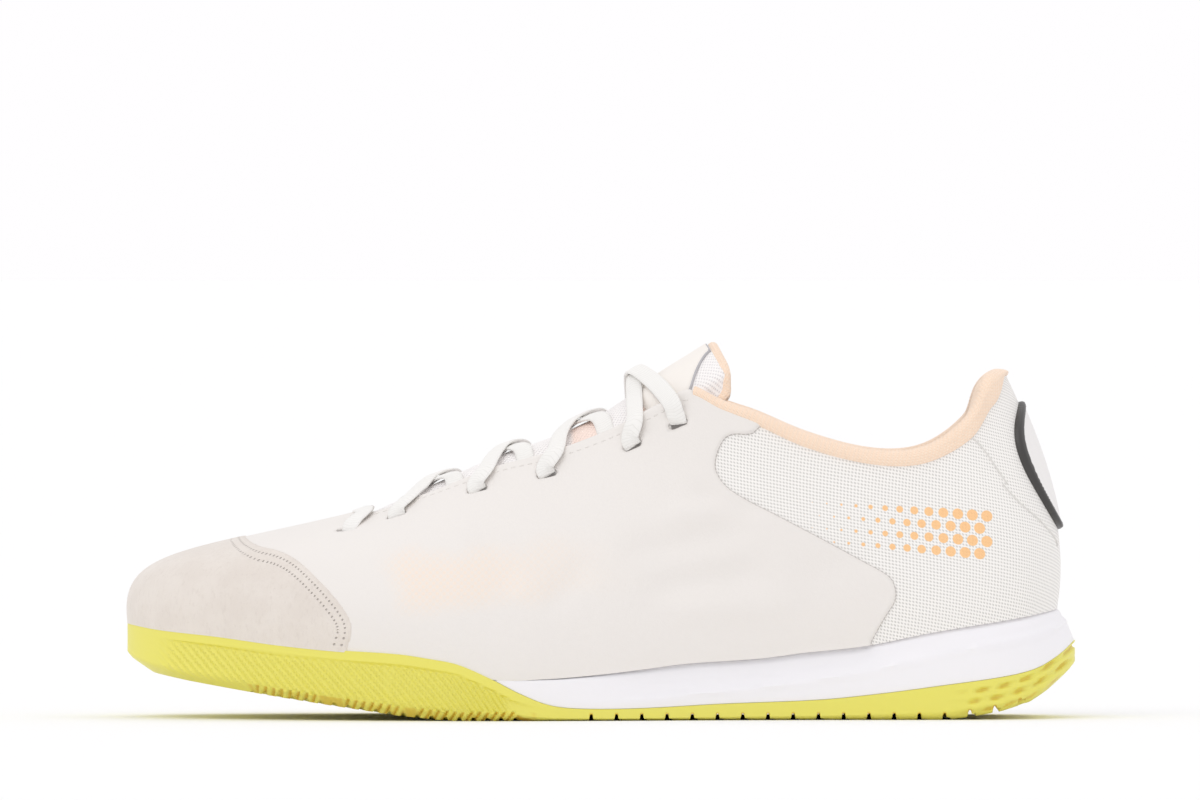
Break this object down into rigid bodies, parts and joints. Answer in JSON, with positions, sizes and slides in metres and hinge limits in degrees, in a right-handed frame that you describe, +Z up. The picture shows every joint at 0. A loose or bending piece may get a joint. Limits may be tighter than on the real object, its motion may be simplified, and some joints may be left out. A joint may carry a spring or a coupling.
{
  "type": "indoor soccer shoe",
  "caption": "Low lace-up indoor soccer shoe with a hollow upper, suede toe cap, knit collar, padded tongue, foam midsole and lugged rubber outsole.",
  "frame": {"origin": "on the floor under the middle of the outsole's length and width", "axes": "-X points to the toe, -Y to the lateral side of this left shoe, +Z up"},
  "size_m": [0.2882, 0.1012, 0.1135],
  "materials": {
    "outsole_rubber": "translucent-looking pale yellow gum rubber, satin",
    "midsole_foam": "white moulded foam, matte",
    "insole_foam": "off-white fabric-topped foam",
    "upper_mesh": "off-white textured mesh over lining",
    "vamp_leather": "smooth white synthetic leather, soft satin",
    "toe_suede": "off-white suede with stitch holes",
    "heel_plate": "raised white moulded plate",
    "collar_knit": "peach knitted roll and lining",
    "tongue_mesh": "padded white mesh with a peach binding",
    "lace_weave": "flat woven off-white lace"
  },
  "bodies": {
    "root": {"outsole": "outsole_rubber", "midsole": "midsole_foam", "insole": "insole_foam", "upper": "upper_mesh", "vamp_overlay": "vamp_leather", "toe_cap": "toe_suede", "heel_patch": "heel_plate", "collar": "collar_knit", "tongue": "tongue_mesh", "lace": "lace_weave"}
  },
  "joints": []
}
